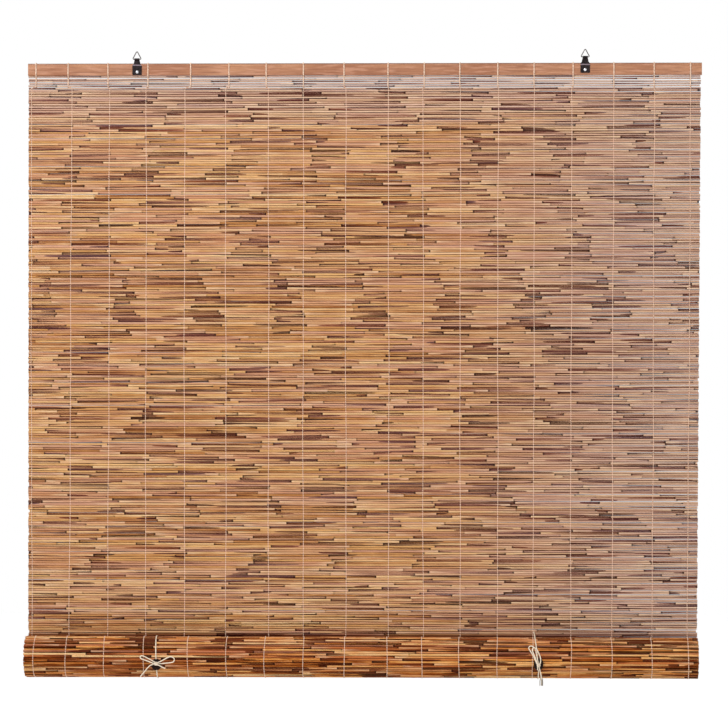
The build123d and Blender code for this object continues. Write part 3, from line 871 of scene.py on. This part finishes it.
# A strand's thickness, its step to the side where the two cross, and its swing to the front and back
# on the mat and on the roll
STRAND = 0.0015
STRAND_STEP = 0.00042
STRAND_SWING = 0.0037
ROLL_STRAND_SWING = 0.0035
for index in range(len(THREADS_TOP)):
    number = str(index + 1).zfill(2)
    strands = []
    for side in (-1, 1):
        points = []
        for row in range(HANGING_ROWS + 1):
            z = LATH_BOTTOM - row * ROW_PITCH
            x = thread_x(index, z)
            points.append((x + side * (STRAND_STEP if row % 2 else -STRAND_STEP), 0.0, z))
            if row < HANGING_ROWS:
                swing = side * (1 if row % 2 else -1) * STRAND_SWING
                points.append((thread_x(index, z - ROW_PITCH / 2), swing, z - ROW_PITCH / 2))
        strands.append(tube_to_mesh(smooth_tube("strand", points, STRAND, 2, 0, WARP_COTTON)))
    twine = join_pieces(strands, "warp_twine_" + number)
    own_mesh(twine)
    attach(twine, "head")
    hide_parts("warp_thread_" + number)

    strands = []
    for side in (-1, 1):
        points = []
        for row, angle in enumerate(turn_rows(0)):
            if angle > 345:
                break
            half_step = 180 * ROW_PITCH / (math.pi * ROLL_RADIUS) / 2
            x = THREADS_ROLL[index] / 1000
            for part, shift in ((angle - half_step, 0.0), (angle, 1.0)):
                flip = side * (1 if row % 2 else -1)
                y, z = roll_place(max(0.0, part), 0, ROLL_STRAND_SWING * flip * shift)
                sway = 0.0007 * math.sin(angle * 0.03 + index)
                points.append((x + (0.0 if shift else STRAND_STEP * flip) + sway, y, z))
        strands.append(tube_to_mesh(smooth_tube("strand", points, STRAND, 2, 0, WARP_COTTON)))
    twine = join_pieces(strands, "roll_twine_" + number)
    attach(twine, "roll")
    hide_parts("roll_thread_" + number)

# Lashings: over the lath and round the first rows with it. Their thickness, how far they wander sideways,
# and how far they lie from the middle of the lath and of the reeds
LASH = 0.0018
LASH_WANDER = 0.0007
LATH_FACE = 0.0049
REED_FACE = 0.0032
lashes = []
for index in range(len(THREADS_TOP)):
    x = THREADS_TOP[index] / 1000
    low = LATH_BOTTOM - LASHED_ROWS * ROW_PITCH
    for side in (-1, 1):
        points = [(x, 0.0, low)]
        for step in range(6):
            sway = side * LASH_WANDER * math.cos(step * 1.9)
            points.append((x + sway, -REED_FACE, low + (step + 0.5) * ROW_PITCH * 0.9))
        for step in range(9):
            z = LATH_BOTTOM + LATH_HEIGHT * step / 8
            sway = side * LASH_WANDER * math.cos(step * 1.6)
            points.append((x + sway, -LATH_FACE - 0.0003 * side * math.sin(step * 1.6), z))
        points.append((x, -0.0036, LATH_TOP + 0.0008))
        points.append((x, 0.0036, LATH_TOP + 0.0008))
        for step in range(9):
            z = LATH_TOP - LATH_HEIGHT * step / 8
            sway = side * LASH_WANDER * math.cos(step * 1.6)
            points.append((x + sway, LATH_FACE + 0.0003 * side * math.sin(step * 1.6), z))
        for step in range(6):
            sway = side * LASH_WANDER * math.cos(step * 1.9)
            points.append((x + sway, REED_FACE, LATH_BOTTOM - (step + 0.5) * ROW_PITCH * 0.9))
        points.append((x, 0.0, low))
        lashes.append(tube_to_mesh(smooth_tube("lash", points, LASH, 3, 0, WARP_COTTON)))
lath_lashings = join_pieces(lashes, "lath_lashings")
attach(lath_lashings, "head")

# Ties

TIE_CORD = 0.0020
LOOP_CORD = 0.0021
BOWS = {
    "left_bow_cord_a": (
        TIE_LEFT,
        0.1055,
        [
            (2.5, 46.0, -8.0), (8.5, 45.2, -5.8), (14.5, 44.0, -2.4), (20.0, 43.0, 0.8), (25.0, 42.4, 2.6),
            (30.0, 42.0, 1.6), (33.0, 41.6, -2.4), (31.4, 41.4, -6.6), (26.8, 41.5, -8.2), (20.8, 41.8, -8.8),
            (14.6, 42.2, -9.4), (8.6, 42.7, -10.0), (2.6, 43.4, -10.2), (-3.6, 43.4, -10.6), (-8.4, 43.0, -12.0),
            (-12.8, 42.2, -15.0), (-16.4, 41.0, -19.0), (-20.0, 39.6, -23.4), (-24.0, 38.0, -28.2),
            (-28.4, 36.4, -33.6),
        ],
    ),
    "left_bow_cord_b": (
        TIE_LEFT,
        0.0824,
        [
            (-2.4, 43.2, -7.4), (-7.6, 43.0, -4.2), (-12.8, 42.6, -1.4), (-18.0, 42.2, 1.0), (-22.6, 41.8, 3.4),
            (-27.2, 41.5, 4.4), (-29.0, 41.4, 0.8), (-25.8, 41.8, -2.2), (-20.2, 42.8, -3.4), (-14.4, 44.0, -5.6),
            (-8.4, 45.2, -7.8), (-2.8, 46.2, -10.0), (3.4, 45.8, -12.2), (9.2, 43.6, -14.8), (15.6, 41.6, -18.8),
        ],
    ),
    "right_bow_cord_a": (
        TIE_RIGHT,
        0.1152,
        [
            (-3.2, 46.4, -8.4), (-5.4, 46.4, -2.6), (-8.2, 44.6, 3.4), (-11.6, 42.2, 9.6), (-15.2, 39.6, 15.2),
            (-18.2, 37.6, 19.2), (-15.8, 36.4, 22.8), (-11.2, 36.0, 22.8), (-7.4, 37.0, 19.8), (-5.2, 39.0, 14.6),
            (-3.8, 41.2, 8.6), (-2.6, 43.8, 2.4), (-1.2, 45.4, -4.4), (0.2, 45.2, -11.4), (1.8, 44.0, -18.2),
            (3.6, 43.0, -25.0), (4.8, 42.2, -31.8), (5.2, 41.6, -39.0), (4.9, 41.2, -46.3),
        ],
    ),
    "right_bow_cord_b": (
        TIE_RIGHT,
        0.0747,
        [
            (2.4, 46.8, -8.2), (3.8, 46.8, -2.6), (3.0, 45.6, 3.6), (1.0, 44.2, 9.2), (-1.8, 42.6, 14.6),
            (-4.8, 41.2, 19.0), (-8.8, 40.4, 20.8), (-11.4, 40.8, 17.6), (-10.4, 42.4, 12.8), (-8.0, 44.6, 7.6),
            (-5.8, 46.8, 2.4), (-3.8, 48.4, -3.2), (-2.2, 48.9, -9.0), (-1.6, 48.2, -14.4), (-1.9, 47.0, -18.8),
        ],
    ),
}


def roll_point(tie_x, across, forward, up):
    """A point by a tie, given in millimetres from the roll's axis."""
    return (tie_x + across / 1000, AXIS_Y - forward / 1000, AXIS_Z + up / 1000)


# Right tail: its end is spread out as loose strands, this many and this thick
FRAYS = 9
FRAY = 0.0011
frays = []
for strand in range(FRAYS):
    turn = math.tau * strand / FRAYS
    spread_out = 3.5 if strand % 3 else 1.8
    route = [(5.0, 41.8, -31.0)]
    for down, open_share in ((-35.0, 0.6), (-40.0, 1.0), (-47.2, 0.9)):
        route.append(
            (
                5.0 + spread_out * open_share * math.cos(turn),
                41.4 + 0.5 * spread_out * open_share * math.sin(turn),
                down + (0.6 if strand % 2 else 0.0),
            )
        )
    points = [roll_point(TIE_RIGHT, *place) for place in route]
    frays.append(tube_to_mesh(smooth_tube("fray", points, FRAY, 4, 0, FRAYED_COTTON)))
frayed_end = join_pieces(frays, "right_frayed_end")
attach(frayed_end, "roll")

for node, (tie_x, length, route) in BOWS.items():
    points = [roll_point(tie_x, *place) for place in route]
    cord = smooth_tube(node + "_cotton", points, TIE_CORD, 12, 3, TIE_COTTON)
    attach(cord, "roll")
    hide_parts(node)


# In millimetres: how far from the roll's axis the tie loops run, and how much further forward the middle
# of the roll's upper half lies than that of its lower half, which its radius is smaller by
LOOP_REACH = 38.65
HALF_TURN_STEP = 2.5


def loop_route(corner, tangent, lean):
    """Round the roll from under the toggle: up the front, over the top, through the mat and down behind it."""
    half_step = math.radians(7.5)
    lower, upper = LOOP_REACH / math.cos(half_step), (LOOP_REACH - HALF_TURN_STEP) / math.cos(half_step)
    places = [(lower * math.cos(math.radians(angle)), lower * math.sin(math.radians(angle))) for angle in (-16, -6)]
    for step in range(1, int(tangent // 15) + 1):
        angle = math.radians(15 * step)
        places.append((HALF_TURN_STEP + upper * math.cos(angle), upper * math.sin(angle)))
    end = places[-1]
    places.append((-16.0, end[1] + (corner - end[1]) * (end[0] + 16.0) / (end[0] + LOOP_REACH)))
    places += [(-36.6, corner), (-LOOP_REACH, corner - 2.4), (-LOOP_REACH, corner / 2), (-LOOP_REACH, 2.0)]
    for step in range(11):
        angle = math.radians(-172 + 15 * step)
        places.append((lower * math.cos(angle), lower * math.sin(angle)))
    return [(lean * max(0.0, up + 10.0) / (corner + 10.0), forward, up) for forward, up in places]


# Ties: the loop round the roll, and the knot with its wraps, this far in front of the roll's axis in millimetres
KNOT_FORWARD = 43.6
for side, tie_x, corner, tangent, lean, knot_up in (
    ("left", TIE_LEFT, 22.0, 112.7, -1.6, -10.0),
    ("right", TIE_RIGHT, 43.0, 81.1, -6.8, -10.8),
):
    points = [roll_point(tie_x, *place) for place in loop_route(corner, tangent, lean)]
    loop = tube_to_mesh(smooth_tube(side + "_tie_loop_cotton", points, LOOP_CORD, 4, 2, TIE_COTTON))
    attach(loop, "roll")
    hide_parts(side + "_tie_loop")

    middle = roll_point(tie_x, 0.0, KNOT_FORWARD, knot_up)
    parts = []
    bpy.ops.object.select_all(action="DESELECT")
    bpy.ops.mesh.primitive_uv_sphere_add(segments=20, ring_count=12, radius=0.0024, location=middle)
    parts.append(bpy.context.object)
    for tip, swing, size in ((20, 65, 0.0026), (95, 30, 0.0024), (-50, -55, 0.0027)):
        bpy.ops.mesh.primitive_torus_add(
            major_segments=24,
            minor_segments=8,
            major_radius=size,
            minor_radius=TIE_CORD / 2,
            location=middle,
            rotation=(math.radians(tip), math.radians(swing), 0),
        )
        parts.append(bpy.context.object)
    knot = join_pieces(parts, side + "_tie_knot_cotton")
    bpy.ops.object.transform_apply(location=True, rotation=True, scale=True)
    bpy.ops.object.shade_smooth()
    knot.data.materials.clear()
    knot.data.materials.append(TIE_COTTON)
    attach(knot, "roll")
    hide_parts(side + "_tie_knot")

# Finishes on the CAD nodes that stay


def dress(node, finish):
    piece = bpy.data.objects[node]
    piece.data.materials.clear()
    piece.data.materials.append(finish)


for node in ("top_lath", "bottom_lath"):
    dress(node, LATH_WOOD)
for side in ("left", "right"):
    dress(side + "_hanger_strap", STRAP_STEEL)
    dress(side + "_ring", RING_ZINC)
    dress(side + "_hanger_screw", SCREW_ZINC)
    dress(side + "_tie_toggle", TOGGLE_SKIN)

# Stage, light and camera


def seen_rays(tree):
    """1 for a ray that shows the stage itself: from the camera, off a shine or through something clear."""
    rays = new_node(tree, "ShaderNodeLightPath")
    shown = calc(tree, "MAXIMUM", rays.outputs["Is Camera Ray"], rays.outputs["Is Glossy Ray"])
    return calc(tree, "MAXIMUM", shown, rays.outputs["Is Transmission Ray"])


def stage_finish():
    """A white floor that keeps a soft shadow."""
    material, tree, shader = new_finish("studio_floor")
    shader.inputs["Base Color"].default_value = srgb(250, 250, 250)
    shader.inputs["Roughness"].default_value = 0.9
    shader.inputs["Emission Color"].default_value = (1, 1, 1, 1)
    feed(tree, shader.inputs["Emission Strength"], calc(tree, "MULTIPLY", seen_rays(tree), 0.62))
    return material


bpy.ops.object.select_all(action="DESELECT")
bpy.ops.mesh.primitive_plane_add(size=14.0, location=(0, 1.0, -1.62))
floor = bpy.context.object
bpy.ops.object.transform_apply(location=True, rotation=True, scale=True)
floor.name = "studio_floor"
floor.data.materials.append(stage_finish())

world = bpy.data.worlds.new("studio_world")
bpy.context.scene.world = world
world.use_nodes = True
sky = world.node_tree
surround = sky.nodes["Background"]
feed(sky, surround.inputs["Strength"], spread(sky, seen_rays(sky), 0.0, 1.0, 0.33, 1.0, smooth=False))
surround.inputs["Color"].default_value = (1, 1, 1, 1)


def soft_lamp(name, place, target, size, power):
    bpy.ops.object.select_all(action="DESELECT")
    bpy.ops.object.light_add(type="AREA", location=place)
    lamp = bpy.context.object
    lamp.name = name
    lamp.data.size = size
    lamp.data.energy = power
    lamp.rotation_euler = (Vector(target) - Vector(place)).to_track_quat("-Z", "Y").to_euler()
    return lamp


soft_lamp("key_lamp", (-1.3, -2.6, 1.9), (0, 0, -0.6), 1.8, 92)
soft_lamp("fill_lamp", (2.2, -3.4, -0.2), (0, 0, -0.6), 2.4, 26)
soft_lamp("back_lamp", (0.4, 3.2, 1.2), (0, 0, -0.55), 2.4, 42)

# The camera as fitted to the photo, with its focal length in the photo's pixels
CAMERA_PLACE = (0.1725, -6.0, -0.553)
FOCAL_PIXELS = 3339.7
PHOTO_WIDTH = 728
SENSOR_WIDTH = 36.0
bpy.ops.object.camera_add(location=CAMERA_PLACE)
camera = bpy.context.object
camera.name = "photo_camera"
yaw, pitch, roll = math.radians(-1.588), math.radians(-0.083), math.radians(0.042)
look = Vector((math.sin(yaw) * math.cos(pitch), math.cos(yaw) * math.cos(pitch), math.sin(pitch)))
turned = look.to_track_quat("-Z", "Y").to_matrix().to_4x4() @ Matrix.Rotation(roll, 4, "Z")
camera.matrix_world = Matrix.Translation(CAMERA_PLACE) @ turned
camera.data.sensor_width = SENSOR_WIDTH
camera.data.lens = FOCAL_PIXELS / PHOTO_WIDTH * SENSOR_WIDTH
camera.data.clip_end = 60.0
bpy.context.scene.camera = camera
bpy.context.scene.view_settings.view_transform = "Standard"
